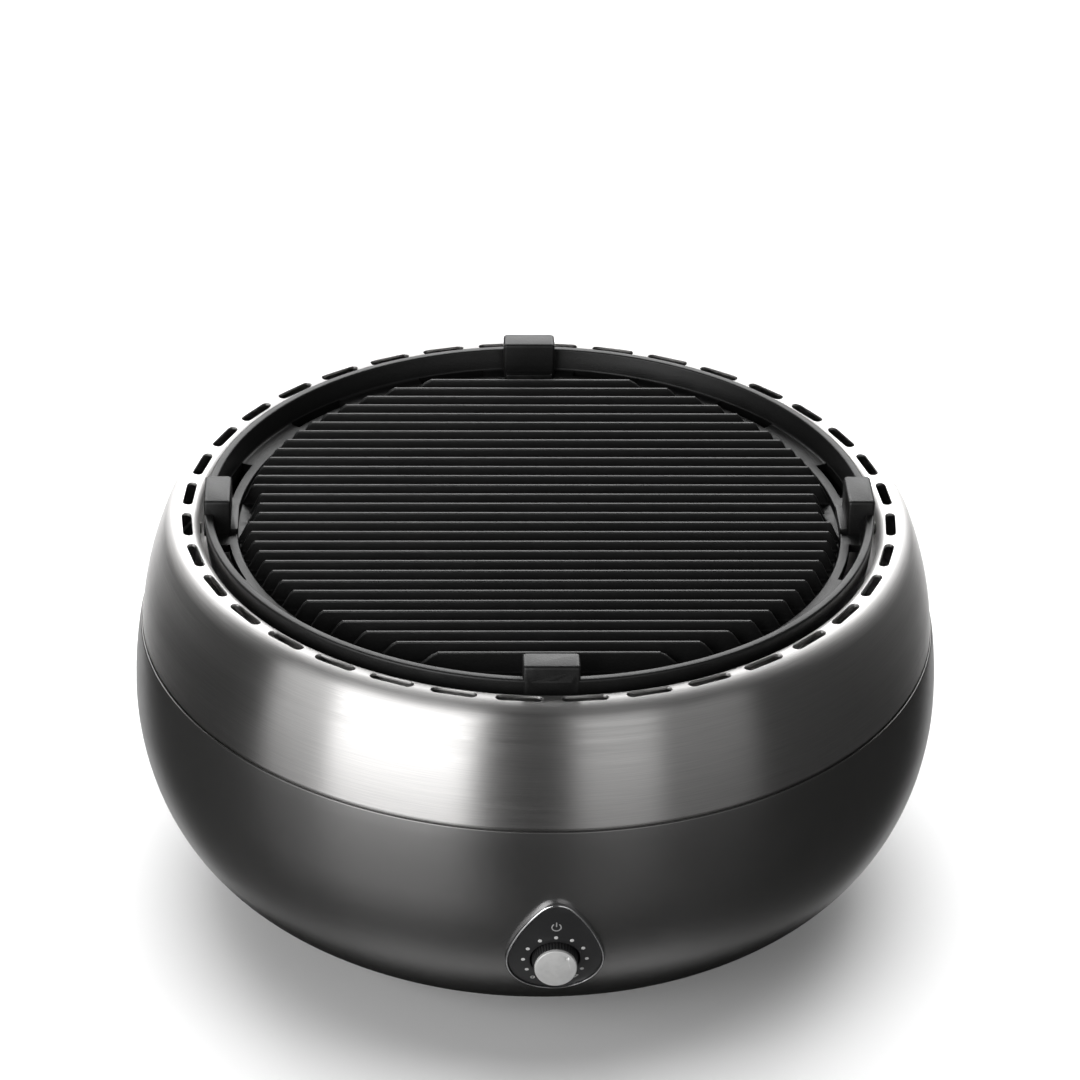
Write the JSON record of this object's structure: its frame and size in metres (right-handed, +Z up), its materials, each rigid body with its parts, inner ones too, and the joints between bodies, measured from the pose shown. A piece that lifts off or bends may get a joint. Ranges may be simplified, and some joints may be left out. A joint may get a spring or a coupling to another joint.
{
  "type": "tabletop charcoal grill",
  "caption": "Round fan-assisted tabletop charcoal grill with a ribbed lift-out pan, vented steel collar, painted bowl housing and a front fan dial.",
  "frame": {"origin": "on the table, under the middle of the round body", "axes": "+Z up, the dial faces -Y, +X to the right of a person facing the dial"},
  "size_m": [0.3543, 0.3585, 0.1942],
  "materials": {
    "shell_paint": "charcoal gloss paint on pressed steel",
    "collar_steel": "stainless steel brushed around the body",
    "pan_coating": "black textured non-stick coating on cast aluminium",
    "bowl_steel": "satin stainless steel",
    "plain_steel": "plain satin sheet steel",
    "zinc_steel": "zinc-plated steel fasteners",
    "black_plastic": "matte black heat-resistant plastic",
    "fan_plastic": "dark grey glass-filled nylon",
    "dial_plastic": "fine-textured dark plastic",
    "dial_chrome": "bright chrome trim",
    "knob_silver": "satin silver cap",
    "motor_can": "nickel-plated steel can",
    "cell_sleeve": "plain printed sleeve on a steel cell",
    "contact_brass": "nickel-plated brass",
    "foot_rubber": "black rubber",
    "lead_sleeve": "silicone wire insulation"
  },
  "bodies": {
    "housing": {"outer_shell": "shell_paint", "steel_collar": "collar_steel", "bowl_seat_ring": "plain_steel", "seat_rivets": "plain_steel", "joint_ring": "plain_steel", "collar_screws": "zinc_steel", "collar_nuts": "zinc_steel", "fan_duct": "black_plastic", "duct_cone": "plain_steel", "motor_bracket": "black_plastic", "fan_motor": "motor_can", "intake_grille": "black_plastic", "fan_screws": "zinc_steel", "fan_nuts": "zinc_steel", "base_plate": "black_plastic", "base_screws": "zinc_steel", "base_nuts": "zinc_steel", "rubber_feet": "foot_rubber", "foot_screws": "zinc_steel", "foot_nuts": "zinc_steel", "heat_shield": "plain_steel", "shield_posts": "zinc_steel", "post_screws": "zinc_steel", "battery_box": "black_plastic", "box_screws": "zinc_steel", "battery_cells": "cell_sleeve", "battery_contacts": "contact_brass", "dial_plate": "dial_plastic", "dial_lip": "dial_chrome", "dial_ring_nut": "black_plastic", "potentiometer": "motor_can", "pot_nut": "zinc_steel", "battery_lead": "lead_sleeve", "motor_lead": "lead_sleeve"},
    "bowl": {"inner_bowl": "bowl_steel", "burner_cap": "bowl_steel"},
    "pan": {"grill_pan": "pan_coating"},
    "tray": {"fuel_tray": "bowl_steel"},
    "basket": {"charcoal_basket": "bowl_steel"},
    "lid": {"basket_lid": "bowl_steel", "lid_loop": "bowl_steel"},
    "fan_rotor": {"impeller": "fan_plastic", "motor_shaft": "zinc_steel"},
    "knob": {"knob_body": "dial_plastic", "knob_cap": "knob_silver", "pot_shaft": "zinc_steel"},
    "door": {"battery_door": "black_plastic"}
  },
  "joints": [
    {"name": "pan_lift", "type": "slide", "parent": "housing", "child": "pan", "axis": [0, 0, 1], "range_m": [0, 0.3]},
    {"name": "bowl_lift", "type": "slide", "parent": "housing", "child": "bowl", "axis": [0, 0, 1], "range_m": [0, 0.12]},
    {"name": "basket_lift", "type": "slide", "parent": "bowl", "child": "basket", "axis": [0, 0, 1], "range_m": [0, 0.09]},
    {"name": "tray_lift", "type": "slide", "parent": "bowl", "child": "tray", "axis": [0, 0, 1], "range_m": [0, 0.04]},
    {"name": "lid_lift", "type": "slide", "parent": "basket", "child": "lid", "axis": [0, 0, 1], "range_m": [0, 0.04]},
    {"name": "fan_spin", "type": "hinge", "parent": "housing", "child": "fan_rotor", "pos_m": [0, 0, 0.0255], "axis": [0, 0, 1], "continuous": true},
    {"name": "knob_turn", "type": "hinge", "parent": "housing", "child": "knob", "pos_m": [0.0028, -0.17273, 0.06996], "axis": [0.0162, -0.9999, 0], "range_deg": [-102, 186]},
    {"name": "door_slide", "type": "slide", "parent": "housing", "child": "door", "axis": [0, 1, 0], "range_m": [0, 0.036]}
  ],
  "couplings": [
    {"joint": "bowl_lift", "follows": "pan_lift", "ratio": 0.4},
    {"joint": "basket_lift", "follows": "pan_lift", "ratio": 0.3},
    {"joint": "tray_lift", "follows": "pan_lift", "ratio": 0.13333},
    {"joint": "lid_lift", "follows": "pan_lift", "ratio": 0.13333}
  ]
}
